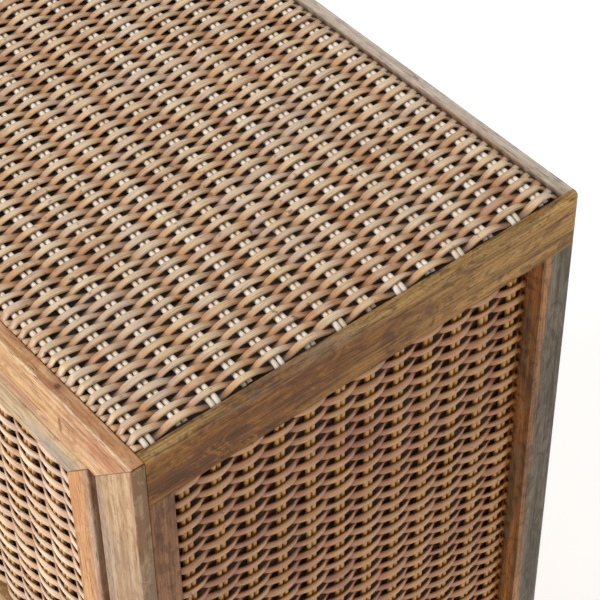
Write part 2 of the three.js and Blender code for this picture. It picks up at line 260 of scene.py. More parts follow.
# Least room between the edge of a side or drawer panel and its first stake pair.
SIDE_MARGIN = 8 * MM
DRAWER_MARGIN = 4 * MM

# Keeps a whole number of steps whole when it is rounded down.
ROUNDING = 1e-6

# A strand's section, right edge first and anticlockwise: across and up, each -1 to 1.
FLAT_SECTION = ((1, -0.05), (0.88, 0.5), (0.5, 0.88), (0, 1), (-0.5, 0.88), (-0.88, 0.5),
                (-1, -0.05), (-0.72, -0.85), (0.72, -0.85))
ROUND_SECTION = tuple((cos(k * pi / 4), sin(k * pi / 4)) for k in range(8))

# A strand between two stake pairs: rings of its mesh, how full its wave is, how its width follows the wave,
# and the room beside the outermost strand.
RINGS_PER_PAIR = 10
WAVE_POWER = 0.78
WIDTH_POWER = 0.8
END_ROOM = 0.6 * MM

# Beyond the last stake pair, as shares of the room there: where a strand on top dives, where one below
# climbs, and where the ends' painted light sets in. The dive and the climb are shares of the rise; the ends
# lose END_LIGHTENING of their painted shade.
DIVE_REACH = (0.36, 1.0)
CLIMB_REACH = (0.3, 1.0)
END_LIGHT_REACH = (0.25, 0.7)
DIVE = 1.94
CLIMB = 0.75
END_LIGHTENING = 0.6

# Where the rings of a stake stand from its start to its end, how far its ends turn in and over what length,
# how far short of the frame a cut stake stops, and how much painted shade darkens its ends.
STAKE_RINGS = np.concatenate([np.linspace(0, 0.016, 6), np.linspace(0.03, 0.97, 32),
                              np.linspace(0.984, 1, 6)])
STAKE_DROP = 2.4 * MM
STAKE_BEND = 5 * MM
STAKE_BEND_POWER = 1.6
CUT_STAKE_ROOM = 1.1 * MM
STAKE_END_SHADE = 0.7

# Irregularity along a strand or stake: the distance between new random values, in stake pairs for strands
# and in rings for stakes, and their spread.
STRAND_WANDER = {"lift": (0.7, 0.05), "width": (2.0, 0.07), "place": (0.9, 0.22 * MM), "tone": (2.6, 0.16),
                 "warmth": (1.6, 0.2), "roll": (0.8, radians(5))}
STAKE_WANDER = {"place": (3, 0.12 * MM), "depth": (4, 0.08 * MM), "width": (6, 0.03), "tone": (5, 0.12),
                "warmth": (4, 0.25)}

# Random values drawn beyond the last ring.
SPARE_VALUES = 4

# Usual tone and warmth, and the spread from one strand or stake to the next.
STRAND_USUAL = {"tone": 0.5, "warmth": 0.34}
STAKE_USUAL = {"tone": 0.6, "warmth": 0.3}
STRAND_SPREAD = {"width": 0.05, "tone": 0.17, "warmth": 0.2}
STAKE_SPREAD = {"cut": 0.35 * MM, "width": 0.03, "tone": 0.16}

FIBRE_DARK = tone("8c5a30")
FIBRE_PALE = tone("f6e4c6")
CANE_KNOT = tone("5a3a20")
CANE_PATCH = tone("a25f30")
# Painted shade along a strand's edges.
PAINTED_EDGE_SHADE = tone("855630")


class Panel:
    """A flat woven panel: strands run along one axis, stakes across it, and out is its face."""

    def __init__(self, node, along, across, out, sign):
        self.low, self.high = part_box(node)
        self.axes = (AXIS[across], AXIS[along], AXIS[out])
        self.sign = sign
        frame_axes = np.zeros((3, 3))
        for row, axis in enumerate(self.axes):
            frame_axes[row, axis] = sign if row == 2 else 1
        self.mirrored = np.linalg.det(frame_axes) < 0
        self.middle = (self.low[self.axes[2]] + self.high[self.axes[2]]) / 2

    def span(self, row):
        axis = self.axes[row]
        return self.low[axis], self.high[axis]

    def place(self, points):
        """Turns (across, along, out from the middle) into the table's own frame."""
        world = np.empty_like(points)
        world[..., self.axes[0]] = points[..., 0]
        world[..., self.axes[1]] = points[..., 1]
        world[..., self.axes[2]] = self.middle + self.sign * points[..., 2]
        return world


def smooth(value, low, high):
    """0 up to low, 1 from high, and an even curve between them."""
    share = np.clip((value - low) / (high - low), 0, 1)
    return share * share * (3 - 2 * share)


def wander(random, strands, rings, step, size):
    """Smooth random values along each strand, with a new value every so many rings."""
    values = random.normal(0, size, (strands, int(rings / step) + SPARE_VALUES))
    steps = np.arange(rings) / step
    base = steps.astype(int)
    share = smooth(steps - base, 0, 1)
    return values[:, base] * (1 - share) + values[:, base + 1] * share


def strands_mesh(name, panel, centre, half_width, half_thick, roll, tint, section):
    """One mesh of closed strands. centre is (strands, rings, 3) in the panel's own frame."""
    strands, rings = centre.shape[:2]
    forward = np.gradient(centre, axis=1)
    forward /= np.linalg.norm(forward, axis=2, keepdims=True)
    out = np.zeros_like(centre)
    out[..., 2] = 1
    side = np.cross(forward, out)
    side /= np.linalg.norm(side, axis=2, keepdims=True)
    up = np.cross(side, forward)
    rolled_side = side * np.cos(roll)[..., None] + up * np.sin(roll)[..., None]
    rolled_up = up * np.cos(roll)[..., None] - side * np.sin(roll)[..., None]
    u, v = np.array(section, float).T
    corners = len(u)
    points = (centre[:, :, None, :]
              + rolled_side[:, :, None, :] * (half_width[..., None] * u)[..., None]
              + rolled_up[:, :, None, :] * (half_thick[..., None] * v)[..., None])
    verts = panel.place(points).reshape(-1, 3)
    ring = np.arange(corners)
    starts = (np.arange(strands)[:, None] * rings + np.arange(rings - 1)[None, :]) * corners
    a = starts[..., None] + ring
    b = starts[..., None] + (ring + 1) % corners
    quads = np.stack([a, b, b + corners, a + corners], axis=-1).reshape(-1, 4)
    ends = np.arange(strands)[:, None] * rings * corners
    first = (ends + ring[::-1]).reshape(-1, corners)
    last = (ends + (rings - 1) * corners + ring).reshape(-1, corners)
    if not panel.mirrored:
        quads, first, last = quads[:, ::-1], first[:, ::-1], last[:, ::-1]
    mesh = bpy.data.meshes.new(name)
    mesh.from_pydata(verts, [], quads.tolist() + first.tolist() + last.tolist())
    travelled = np.zeros((strands, rings))
    travelled[:, 1:] = np.cumsum(np.linalg.norm(np.diff(centre, axis=1), axis=2), axis=1)
    weave = np.empty((strands, rings, corners, 3), np.float32)
    weave[..., 0] = u
    weave[..., 1] = (travelled + tint["offset"])[..., None]
    weave[..., 2] = tint["seed"][..., None]
    shade = np.ones((strands, rings, corners, 4), np.float32)
    for channel, key in enumerate(("tone", "warmth", "depth")):
        shade[..., channel] = tint[key][..., None]
    mesh.attributes.new("weave", "FLOAT_VECTOR", "POINT").data.foreach_set("vector", weave.ravel())
    mesh.attributes.new("shade", "FLOAT_COLOR", "POINT").data.foreach_set("color", shade.ravel())
    mesh.shade_smooth()
    piece = bpy.data.objects.new(name, mesh)
    bpy.context.scene.collection.objects.link(piece)
    return piece


def own_marks(random, strands, rings):
    """Where each strand's texture starts and its own number, so that no two look alike."""
    return {
        "offset": random.uniform(0, 40, (strands, 1)),
        "seed": np.repeat(random.uniform(0, 100, (strands, 1)), rings, axis=1),
    }


def strand_waves(panel, look, layout, count, along):
    """Each strand's height at each ring, -1 below the stakes and 1 above; and how far out the rings are."""
    low, high = panel.span(1)
    last = layout.pairs - 1
    q = (along - (low + layout.first_pair)) / layout.spacing
    away = np.abs(q - np.clip(np.round(q), 0, last))
    side_of = np.where(np.arange(count) % 2 == 0, 1.0, -1.0)[:, None]
    height = side_of * np.cos(pi * q)[None, :]
    beyond = np.zeros(len(along))
    last_room = high - low - layout.first_pair - last * layout.spacing
    for outside, room, pair in ((q < 0, layout.first_pair, 0), (q > last, last_room, last)):
        gone = away * layout.spacing / room
        dive = 1 - DIVE * look.end_dive * smooth(gone, *DIVE_REACH)[None, :]
        climb = -1 + CLIMB * smooth(gone, *CLIMB_REACH)[None, :]
        ends = np.where(side_of * (-1.0) ** pair > 0, dive, climb)
        height = np.where(outside[None, :], ends, height)
        beyond = np.where(outside, smooth(gone, *END_LIGHT_REACH), beyond)
    return height, beyond


def weave_strands(name, panel, s, look, layout, random, in_halves):
    """Flat-oval strands that pass over and under the stake pairs, each opposite to its neighbour."""
    low, high = panel.span(1)
    edge_low, edge_high = panel.span(0)
    across_room = edge_high - edge_low - 2 * END_ROOM - look.crown
    count = int(across_room / layout.pitch + ROUNDING) + 1
    pitch = across_room / (count - 1)
    rings = int(round((high - low) / layout.spacing * RINGS_PER_PAIR)) + 1
    along = np.linspace(low, high, rings)
    height, beyond = strand_waves(panel, look, layout, count, along)

    def stray(key):
        pairs_apart, spread = STRAND_WANDER[key]
        return wander(random, count, rings, RINGS_PER_PAIR * pairs_apart, spread)

    lift = s.rise * (np.sign(height) * np.abs(height) ** WAVE_POWER) * (1 + stray("lift"))
    over = 0.5 + 0.5 * np.clip(height, -1, 1)
    width = look.under + (look.crown - look.under) * over ** WIDTH_POWER
    width = width * (1 + stray("width"))
    width = width * random.normal(1, STRAND_SPREAD["width"], (count, 1))
    index = np.arange(count)
    centre = np.empty((count, rings, 3))
    centre[..., 0] = (edge_low + edge_high) / 2 + (index[:, None] - (count - 1) / 2) * pitch
    centre[..., 0] += stray("place")
    centre[..., 1] = along[None, :]
    centre[..., 2] = lift
    patches = stray("tone")
    own_tone = random.normal(0, STRAND_SPREAD["tone"], (count, 1))
    own_warmth = random.normal(0, STRAND_SPREAD["warmth"], (count, 1))
    # tone carries the ends' painted light (a painted highlight on the top's ends); depth carries the painted
    # shade under the stakes.
    tint = {
        "tone": np.clip(STRAND_USUAL["tone"] + own_tone + patches + look.end_tone * beyond[None, :], 0, 1),
        "warmth": np.clip(STRAND_USUAL["warmth"] + own_warmth + stray("warmth"), 0, 1),
        "depth": (1 - over) * (1 - END_LIGHTENING * beyond[None, :]),
        **own_marks(random, count, rings),
    }
    roll = stray("roll")
    thick = np.full((count, rings), s.strand_thickness / 2)
    groups = {"": np.ones(count, bool)}
    if in_halves:
        groups = {"_first": index % 2 == 0, "_second": index % 2 == 1}
    pieces = []
    for suffix, chosen in groups.items():
        chosen_tint = {key: value[chosen] for key, value in tint.items()}
        pieces.append(strands_mesh(name + suffix, panel, centre[chosen], width[chosen] / 2, thick[chosen],
                                   roll[chosen], chosen_tint, FLAT_SECTION))
    return pieces, count


def lay_stakes(name, panel, s, layout, strand_count, random):
    """Pairs of round stakes that lie across the strands; their ends turn in behind the frame."""
    low = panel.span(1)[0]
    edge_low, edge_high = panel.span(0)
    rods = layout.pairs * 2
    rings = len(STAKE_RINGS)

    def stray(key):
        return wander(random, rods, rings, *STAKE_WANDER[key])

    pair = np.repeat(np.arange(layout.pairs), 2)[:, None]
    beside = np.tile([-0.5, 0.5], layout.pairs)[:, None]
    covered_low = pair % 2 == 0
    covered_high = (pair + strand_count - 1) % 2 == 0
    cuts = CUT_STAKE_ROOM + random.normal(0, STAKE_SPREAD["cut"], (2, rods, 1))
    start = np.where(covered_low, edge_low + cuts[0], edge_low)
    stop = np.where(covered_high, edge_high - cuts[1], edge_high)
    across = start + (stop - start) * STAKE_RINGS[None, :]
    centre = np.empty((rods, rings, 3))
    centre[..., 0] = across
    centre[..., 1] = low + layout.first_pair + pair * layout.spacing + beside * s.rod_step
    centre[..., 1] += stray("place")
    beyond = np.clip(1 - np.minimum(across - edge_low, edge_high - across) / STAKE_BEND, 0, 1)
    centre[..., 2] = -STAKE_DROP * beyond ** STAKE_BEND_POWER
    centre[..., 2] += stray("depth")
    half = s.rod_width / 2 * (1 + stray("width"))
    half = half * random.normal(1, STAKE_SPREAD["width"], (rods, 1))
    own_tone = random.normal(0, STAKE_SPREAD["tone"], (rods, 1))
    # depth carries the painted shade on the stakes' turned-in ends.
    tint = {
        "tone": np.clip(STAKE_USUAL["tone"] + own_tone + stray("tone"), 0, 1),
        "warmth": np.clip(STAKE_USUAL["warmth"] + stray("warmth"), 0, 1),
        "depth": beyond * STAKE_END_SHADE,
        **own_marks(random, rods, rings),
    }
    return strands_mesh(name, panel, centre, half, half, np.zeros((rods, rings)), tint, ROUND_SECTION)


def fibre_inputs(shader):
    """The strand's own coordinates, and its tone, warmth and depth; depth drives the painted shade."""
    weave = shader.node("ShaderNodeAttribute", attribute_name="weave")
    shade = shader.node("ShaderNodeAttribute", attribute_name="shade")
    split = shader.node("ShaderNodeSeparateColor")
    shader.put(shade.outputs["Color"], split.inputs[0])
    return weave.outputs["Vector"], split.outputs[0], split.outputs[1], split.outputs[2]


def strand_material(name, s, shade_share, patchy):
    """Split rattan: long fibres, a grey-pink bloom, orange stains, a soft sheen, a painted highlight on the
    crowns and painted shade on the edges, on the flanks, under the stakes and over the sides' rattan.
    """
    shader = Shader(name)
    weave, own_tone, warmth, depth = fibre_inputs(shader)
    fibres = shader.noise(shader.mapped(weave, (2.2, 30, 1)), 1.6, 4, 0.15, 0.65)
    fine = shader.noise(shader.mapped(weave, (7, 45, 3)), 1.8, 3, 0.1, 0.6)
    stains = shader.noise(shader.mapped(weave, (0.5, 55, 1)), 1.0, 3, 0.4)
    knots = shader.noise(shader.mapped(weave, (0.6, 160, 1)), 1.0, 2)
    clouds = shader.noise(shader.where(), 24, 2, 0.6)
    from_middle = shader.math("ABSOLUTE", shader.split(weave)[0])
    flank_shade = shader.math("ADD", from_middle, shader.window(fibres, 0.3, 0.7, -0.2, 0.2))
    base = shader.mix(shader.window(own_tone, 0.2, 0.8), s.strand_tan, s.strand_pale)
    base = shader.layered(base, (
        (warmth, 0.3, 0.95, 0, 0.9, s.strand_warm),
        (stains, 0.46, 0.66, 0, 0.8, s.strand_grey),
        # Painted highlight on the crowns, then painted orange shade on the flanks that dip under the stakes.
        (depth, 0.02, 0.2, 0.4, 0, s.strand_pale),
        (depth, 0.12, 0.5, 0, 0.6, s.strand_warm),
        (fibres, 0.5, 0.7, 0, 0.7, FIBRE_DARK),
        (fine, 0.55, 0.72, 0, 0.5, FIBRE_PALE),
        (knots, 0.66, 0.74, 0, 0.75, CANE_KNOT),
        (clouds, 0.54, 0.68, 0, patchy, CANE_PATCH),
        (clouds, 0.32, 0.44, patchy, 0, s.strand_grey),
        # Painted shade along the strand's edges.
        (flank_shade, 0.62, 1.05, 0, 0.5, PAINTED_EDGE_SHADE),
        # Painted shade where the strand passes under the stakes.
        (depth, 0.45, 0.95, 0, 0.92, s.under_stake_shade),
    ))
    # Painted shade over the sides' rattan.
    base = shader.mix(shade_share, base, s.side_stain, "MULTIPLY")
    height = shader.math("ADD", shader.math("MULTIPLY", fibres, 0.7), shader.math("MULTIPLY", fine, 0.5))
    shader.bump(height, 0.35 * MM, 0.8)
    sheen = {"Specular IOR Level": 0.5, "Coat Weight": 0.5, "Coat Roughness": 0.25}
    return shader.finish(base, shader.window(fine, 0.3, 0.8, 0.34, 0.54), **sheen)


def core_material(name, s, shade_share, patchy):
    """Round rattan core: pale, dry and slightly stained, with painted shade on its turned-in ends and over
    the stakes of the sides and the drawer.
    """
    shader = Shader(name)
    weave, own_tone, warmth, depth = fibre_inputs(shader)
    fibres = shader.noise(shader.mapped(weave, (3, 60, 2)), 1.5, 4, 0.1, 0.6)
    base = shader.mix(shader.window(own_tone, 0.1, 0.7), s.core_tan, s.core_pale)
    base = shader.layered(base, (
        (warmth, 0.55, 1.0, 0, 0.6, s.strand_tan),
        (fibres, 0.52, 0.75, 0, 0.4, s.core_tan),
        # Painted shade on the turned-in ends.
        (depth, 0.5, 1.0, 0, 0.5, s.under_stake_shade),
    ))
    # Painted shade over the stakes of the sides and the drawer.
    base = shader.mix(shade_share, base, s.side_stain, "MULTIPLY")
    base = shader.mix(shader.window(fibres, 0.6, 0.75, 0, 0.5 * patchy), base, s.strand_warm)
    shader.bump(fibres, 0.3 * MM, 0.7)
    return shader.finish(base, shader.window(fibres, 0.3, 0.7, 0.4, 0.58), **{"Specular IOR Level": 0.5})


def shared(name, make, *values):
    """A material made once and shared by like pieces."""
    return bpy.data.materials.get(name) or make(name, *values)


def weave_panel(context, name, node, body, axes, layout, seed, in_halves=False):
    """Strands and stakes of one panel, in place of its plain CAD slab."""
    s = context.scene.table_weave
    kind = node.split("_")[0]
    look = PANEL_LOOKS[kind]
    panel = Panel(node, *axes)
    random = np.random.default_rng(s.seed + seed)
    strands, count = weave_strands(f"{name}_strands", panel, s, look, layout, random, in_halves)
    stakes = lay_stakes(f"{name}_stakes", panel, s, layout, count, random)
    split_cane = shared(f"{kind}_strand", strand_material, s, look.strand_stain, look.patchy)
    for piece in strands:
        piece.data.materials.append(split_cane)
    core = shared(f"{kind}_core", core_material, s, look.stake_stain, look.patchy)
    stakes.data.materials.append(core)
    for piece in (*strands, stakes):
        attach(piece, body)
        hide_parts(node)


def fitted(room, spacing, margin):
    """How many pairs fit in a room, and where the first one stands so that they are centred."""
    pairs = int((room - 2 * margin) / spacing + ROUNDING) + 1
    return pairs, (room - (pairs - 1) * spacing) / 2


class TABLE_OT_weave_top(bpy.types.Operator):
    """Weave the rattan top: strands from front to back over stakes from side to side"""
    bl_idname = "table.weave_top"
    bl_label = "Weave Top"

    def execute(self, context):
        s = context.scene.table_weave
        low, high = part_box("top_weave")
        pairs = int((high.y - low.y - s.top_first) / s.top_spacing) + 1
        layout = Layout(s.top_spacing, s.top_pitch, s.top_first, pairs)
        weave_panel(context, "top", "top_weave", "cabinet", ("Y", "X", "Z", 1), layout, TOP_SEED,
                    in_halves=True)
        return {"FINISHED"}


class TABLE_OT_weave_sides(bpy.types.Operator):
    """Weave the two side panels: level strands over upright stakes"""
    bl_idname = "table.weave_sides"
    bl_label = "Weave Sides"

    def execute(self, context):
        s = context.scene.table_weave
        for side, sign in (("left", -1), ("right", 1)):
            node = f"side_{side}_weave"
            low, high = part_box(node)
            pairs, first = fitted(high.y - low.y, s.side_spacing, SIDE_MARGIN)
            layout = Layout(s.side_spacing, s.side_pitch, first, pairs)
            weave_panel(context, f"side_{side}", node, "cabinet", ("Y", "Z", "X", sign), layout,
                        SIDE_SEED + sign)
        return {"FINISHED"}


class TABLE_OT_weave_drawer(bpy.types.Operator):
    """Weave the drawer's panel: level strands over upright stakes"""
    bl_idname = "table.weave_drawer"
    bl_label = "Weave Drawer"

    def execute(self, context):
        s = context.scene.table_weave
        low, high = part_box("drawer_front_weave")
        pairs, first = fitted(high.x - low.x, s.drawer_spacing, DRAWER_MARGIN)
        layout = Layout(s.drawer_spacing, s.drawer_pitch, first, pairs)
        weave_panel(context, "drawer_panel", "drawer_front_weave", "drawer", ("X", "Z", "Y", -1), layout,
                    DRAWER_SEED)
        return {"FINISHED"}


# ---------------------------------------------------------------- boards

# A board's colours, how much of it is streaked, and its zones: bands across an axis, from the place where
# the zone's colour starts to the place where it has its full share.
Look = namedtuple("Look", "light base dark streak streak_share zones", defaults=((),))
Zone = namedtuple("Zone", "axis start full colour share")

# A knot, stain or painted highlight on a board: its middle, its three radii, its colour and its strength.
Mark = namedtuple("Mark", "centre radii colour share")

PORE = tone("4a3018")
EDGE_ANGLE = radians(35)


def grain_of(node):
    """The axis along which a board's grain runs: its longest side."""
    low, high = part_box(node)
    return max(range(3), key=lambda axis: (high - low)[axis])


def zoned(shader, base, zones, where, bands, clouds):
    """Lays a board's zones over its colour, with uneven borders."""
    places = shader.split(where)
    uneven = shader.window(clouds, 0.35, 0.6, 0.72, 1)
    for zone in zones:
        border = shader.math("ADD", places[zone.axis], shader.window(bands, 0.3, 0.7, -0.9 * MM, 0.9 * MM))
        reach = shader.window(border, zone.start, zone.full, 0, zone.share)
        base = shader.mix(shader.math("MULTIPLY", reach, uneven), base, zone.colour)
    return base


def marked(shader, base, marks, where, curl):
    """Lays a board's knots, stains and painted highlights over its colour, with ragged borders."""
    ragged = shader.window(curl, 0.3, 0.7, -0.45, 0.45)
    for mark in marks:
        place = [-middle / radius for middle, radius in zip(mark.centre, mark.radii)]
        local = shader.mapped(where, [1 / radius for radius in mark.radii], place)
        away = shader.node("ShaderNodeVectorMath", operation="LENGTH")
        shader.put(local, away.inputs[0])
        edge = shader.math("ADD", away.outputs["Value"], ragged)
        base = shader.mix(shader.window(edge, 0.6, 1.3, mark.share, 0), base, mark.colour)
    return base


def wood_material(name, grain, look, place, marks):
    """Oiled mango wood: long bands, a wandering figure, short pores, streaks, local stains, and painted
    light and shade on some faces and edges.
    """
    shader = Shader(name)
    where = shader.where()

    def stretched(share):
        stretch = [1.0] * 3
        stretch[grain] = share
        return shader.mapped(where, stretch, place)

    broad = shader.noise(stretched(0.09), 34, 4, 1.1, 0.55)
    bands = shader.noise(stretched(0.04), 150, 5, 0.7, 0.62)
    fine = shader.noise(stretched(0.025), 750, 3, 0.3, 0.6)
    pores = shader.noise(stretched(0.07), 900, 2, 0.0, 0.5)
    clouds = shader.noise(stretched(0.25), 14, 3, 1.4, 0.55)
    curl = shader.noise(stretched(0.5), 70, 4, 2.4, 0.6)
    speckle = shader.noise(stretched(0.5), 1100, 2)
    hairline = shader.math("ABSOLUTE", shader.math("SUBTRACT", bands, 0.52))
    pore = shader.window(pores, 0.63, 0.72)
    base = shader.mix(shader.window(broad, 0.4, 0.56), look.light, look.base)
    base = zoned(shader, base, look.zones, where, bands, clouds)
    base = marked(shader, base, marks, where, curl)
    streak_low = 0.62 - look.streak_share * 0.35
    streak_high = 0.8 - look.streak_share * 0.3
    base = shader.layered(base, (
        (clouds, streak_low, streak_high, 0, 0.8, look.streak),
        (bands, 0.47, 0.64, 0, 0.75, look.dark),
        (curl, 0.52, 0.63, 0, 0.6, look.dark),
        (curl, 0.36, 0.47, 0.55, 0, look.light),
        (speckle, 0.52, 0.7, 0, 0.4, look.dark),
        (hairline, 0.0, 0.014, 0.5, 0, look.dark),
        (fine, 0.48, 0.68, 0, 0.5, look.dark),
        (fine, 0.28, 0.44, 0.35, 0, look.light),
    ))
    base = shader.mix(shader.math("MULTIPLY", pore, 0.8), base, PORE)
    shader.bump(shader.math("SUBTRACT", shader.math("MULTIPLY", fine, 0.35), pore), 0.3 * MM, 0.7)
    return shader.finish(base, shader.window(fine, 0.3, 0.7, 0.48, 0.66), **{"Specular IOR Level": 0.22})


def ease_edges(piece, width):
    """Merges the board's loose triangles and rounds its sharp edges a little."""
    weld = piece.modifiers.new("merge", "WELD")
    weld.merge_threshold = 0.01 * MM
    bevel = piece.modifiers.new("ease", "BEVEL")
    bevel.width = width
    bevel.segments = 3
    bevel.limit_method = "ANGLE"
    bevel.angle_limit = EDGE_ANGLE


def coat(name, material):
    """Gives a CAD node one material."""
    materials = frame["nodes"][name].data.materials
    materials.clear()
    materials.append(material)


def finish_boards(names, slot_name, looks, usual, eased):
    """One material for each board; looks gives the boards that differ from the usual."""
    for number, name in enumerate(sorted(names)):
        place = (number * 0.731 + 0.2, number * 0.413, number * 0.597)
        look = looks.get(name, usual)
        coat(name, wood_material(f"{slot_name}_{name}", grain_of(name), look, place, marks_of(name)))
        ease_edges(frame["nodes"][name], eased)


def radii_mm(*values):
    """Radii given in millimetres."""
    return tuple(value * MM for value in values)


def marks_of(name):
    """The knots and stains of a board, and the painted highlight along the front rail's top front edge."""
    low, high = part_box(name)
    if name == "front_top_rail":
        knot = (high.x - 79 * MM, high.y - 4.5 * MM, high.z)
        return (
            # Painted highlight along the rail's top front edge.
            Mark((0, low.y, high.z), radii_mm(300, 1.3, 1.3), tone("fae8cc"), 0.85),
            Mark((high.x - 113 * MM, low.y, high.z - 18 * MM), radii_mm(48, 9, 16), tone("dcb877"), 0.85),
            Mark((high.x - 119 * MM, low.y, high.z - 37 * MM), radii_mm(32, 9, 7), tone("94786a"), 0.8),
            Mark((high.x - 28 * MM, low.y, high.z - 13 * MM), radii_mm(18, 9, 8), tone("c0643a"), 0.7),
            Mark((high.x - 72 * MM, low.y, high.z - 23 * MM), radii_mm(1.8, 8, 6.5), tone("6e3c24"), 0.95),
            Mark(knot, radii_mm(7, 5, 5), tone("8d6244"), 0.55),
            Mark(knot, radii_mm(2.5, 2.1, 3), tone("3f2d22"), 0.92),
        )
    if name == "drawer_front_top_rail":
        place = (high.x - 28 * MM, low.y, low.z + 8 * MM)
        return (Mark(place, radii_mm(30, 16, 7), tone("8f9293"), 0.85),)
    if name in ("side_right_top_rail", "side_left_top_rail"):
        outer = high.x if high.x > 0 else low.x
        return (
            Mark((outer, low.y + 105 * MM, high.z), radii_mm(10, 55, 3), tone("7f7c70"), 0.8),
            Mark((outer, low.y + 40 * MM, high.z - 26 * MM), radii_mm(9, 45, 9), tone("5a3416"), 0.8),
            Mark((outer, low.y + 120 * MM, high.z - 20 * MM), radii_mm(9, 30, 10), tone("7a4a22"), 0.7),
        )
    return ()


def nodes_with_slot(slot_name):
    return [part["node"] for part in frame["record"]["subparts"] if part["material_slot"] == slot_name]


class TABLE_OT_finish_honey_boards(bpy.types.Operator):
    """Finish the honey-coloured boards of the front, back and drawer"""
    bl_idname = "table.finish_honey_boards"
    bl_label = "Finish Honey Boards"

    def execute(self, context):
        w = context.scene.table_wood
        post_low, post_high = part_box("front_post_right")
        rail_low, rail_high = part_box("front_top_rail")
        back_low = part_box("back_top_rail")[0]
        drawer_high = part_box("drawer_front_stile_right")[1]
        post_zones = (
            Zone(0, post_low.x + 12 * MM, post_low.x + 1 * MM, tone("8f8f8c"), 0.75),
            Zone(0, post_high.x - 9 * MM, post_high.x - 6 * MM, tone("d9b48a"), 0.4),
            # Painted shade: the post's side face, turned from the light, in dark olive-brown.
            Zone(0, post_high.x - 1.4 * MM, post_high.x - 0.5 * MM, tone("54432a"), 1.0),
        )
        rail_zones = (
            Zone(2, rail_high.z - 2 * MM, rail_high.z - 0.4 * MM, tone("c09068"), 0.85),
            # Painted highlight: the rail's front face and its front edge paler.
            Zone(1, rail_low.y + 1.6 * MM, rail_low.y + 0.8 * MM, tone("ecc79a"), 0.6),
        )
        # Painted light: the rail's inner face, which faces the front light, in bright orange.
        back_zones = (Zone(1, back_low.y + 10 * MM, back_low.y + 8.6 * MM, tone("b06a30"), 0.9),)
        stile_zones = (Zone(0, drawer_high.x - 8 * MM, drawer_high.x - 3 * MM, tone("9a948a"), 0.8),)
        looks = {
            "front_top_rail": Look(tone("e2ba90"), tone("ca9a6e"), tone("9c663e"), tone("ae724a"), 0.4,
                                   rail_zones),
            "front_post_right": Look(tone("c4a47e"), tone("b08a60"), tone("926a44"), w.ash, 0.4, post_zones),
            "back_top_rail": Look(tone("dccdbd"), tone("c9b9a8"), tone("a08f7e"), w.ash, 0.4, back_zones),
            "drawer_front_top_rail": Look(tone("d0b48c"), tone("bd9b70"), tone("8f6e4a"), tone("a89a86"),
                                          0.4),
            "drawer_front_stile_right": Look(tone("dcab78"), tone("c58c56"), tone("965e34"), w.ash, 0.4,
                                             stile_zones),
        }
        usual = Look(w.honey, w.amber, w.umber, w.ash, 0.5)
        finish_boards(nodes_with_slot("honey_wood"), "honey_wood", looks, usual, w.eased_edge)
        return {"FINISHED"}


class TABLE_OT_finish_shade_boards(bpy.types.Operator):
    """Finish the darker boards of the sides, the shelf and the feet"""
    bl_idname = "table.finish_shade_boards"
    bl_label = "Finish Side Boards"

    def execute(self, context):
        w = context.scene.table_wood
        looks = {}
        for side in ("left", "right"):
            low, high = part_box(f"side_{side}_top_rail")
            # Lighter towards the back: partly the wood's own change, partly painted light. The paler top
            # face is painted light from above.
            rail_zones = (Zone(1, low.y + 70 * MM, high.y - 110 * MM, tone("c89e5c"), 0.85),
                          Zone(2, high.z - 2.6 * MM, high.z - 0.6 * MM, tone("c6a66c"), 0.9))
            looks[f"side_{side}_top_rail"] = Look(tone("b87c30"), tone("84521c"), tone("523014"),
                                                  tone("744418"), 0.4, rail_zones)
            looks[f"side_{side}_front_stile"] = Look(tone("a4744c"), tone("8c6040"), tone("5c3a22"),
                                                     tone("86664a"), 0.3)
            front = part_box(f"side_{side}_rear_stile")[0].y
            # Painted light: the stile's front-facing reveal in bright orange, as if lit from the front.
            stile_zones = (Zone(1, front + 7 * MM, front + 4 * MM, tone("e08c3a"), 1.0),)
            looks[f"side_{side}_rear_stile"] = Look(tone("8c7c68"), tone("6e604e"), tone("443a2c"),
                                                    tone("5e5546"), 0.5, stile_zones)
        usual = Look(w.honey, w.amber, w.umber, w.olive, 0.7)
        finish_boards(nodes_with_slot("shade_wood"), "shade_wood", looks, usual, w.eased_edge)
        return {"FINISHED"}


class TABLE_OT_finish_inner_boards(bpy.types.Operator):
    """Finish the plain boards inside the table"""
    bl_idname = "table.finish_inner_boards"
    bl_label = "Finish Inner Boards"

    def execute(self, context):
        w = context.scene.table_wood
        usual = Look(w.honey, w.honey, w.amber, w.amber, 0.2)
        finish_boards(nodes_with_slot("inner_wood"), "inner_wood", {}, usual, w.eased_edge / 2)
        return {"FINISHED"}


class TABLE_OT_finish_black_boards(bpy.types.Operator):
    """Finish the black boards behind the woven panels"""
    bl_idname = "table.finish_black_boards"
    bl_label = "Finish Black Boards"

    def execute(self, context):
        w = context.scene.table_wood
        # Painted light: each black board is mottled with a paler grey so that it reads brighter where it
        # gets little light; the sides' grey is paler still.
        for kind, painted_lift in (("side", tone("75685c")), ("", tone("4a433c"))):
            shader = Shader(f"{kind}_black_board".strip("_"))
            where = shader.where()
            mottle = shader.noise(where, 60, 4, 0.3)
            dust = shader.noise(where, 900, 2)
            base = shader.mix(shader.window(mottle, 0.2, 0.6, 0, 0.8), w.ebony, painted_lift)
            shader.bump(dust, 0.1 * MM, 0.4)
            shader.finish(base, shader.window(mottle, 0.3, 0.7, 0.55, 0.75))
            for name in nodes_with_slot("black_board"):
                if name.startswith("side") == (kind == "side"):
                    coat(name, shader.material)
        return {"FINISHED"}


# ---------------------------------------------------------------- metal

